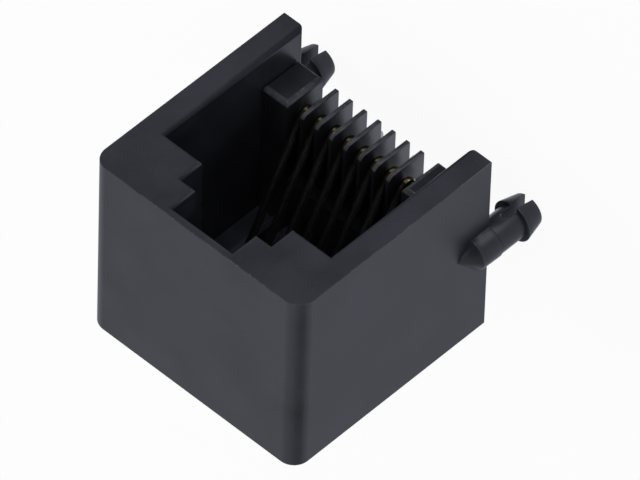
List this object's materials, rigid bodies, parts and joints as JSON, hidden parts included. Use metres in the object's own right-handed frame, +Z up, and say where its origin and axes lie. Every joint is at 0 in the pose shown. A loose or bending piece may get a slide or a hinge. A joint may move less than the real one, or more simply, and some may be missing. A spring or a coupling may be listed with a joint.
{
  "type": "rj45 board jack",
  "caption": "Unshielded side-entry modular jack for a circuit board, with a keyed latch port, bent wire contacts in a comb and split snap-in pegs.",
  "frame": {"origin": "on the board surface, midway between the axes of the two snap-in pegs", "axes": "+Z up out of the board, -Y the way the port looks, +X to the right when looking into the port with the board below"},
  "size_m": [0.0174, 0.0126, 0.0175],
  "materials": {
    "housing_plastic": "fine satin moulding, glass-filled polyester",
    "carrier_plastic": "satin moulding, glass-filled polyester",
    "contact_wire": "drawn phosphor bronze wire with a gold flash"
  },
  "bodies": {
    "root": {"housing": "housing_plastic", "contact_carrier": "carrier_plastic", "contact_1": "contact_wire", "contact_2": "contact_wire", "contact_3": "contact_wire", "contact_4": "contact_wire", "contact_5": "contact_wire", "contact_6": "contact_wire", "contact_7": "contact_wire", "contact_8": "contact_wire"}
  },
  "joints": []
}
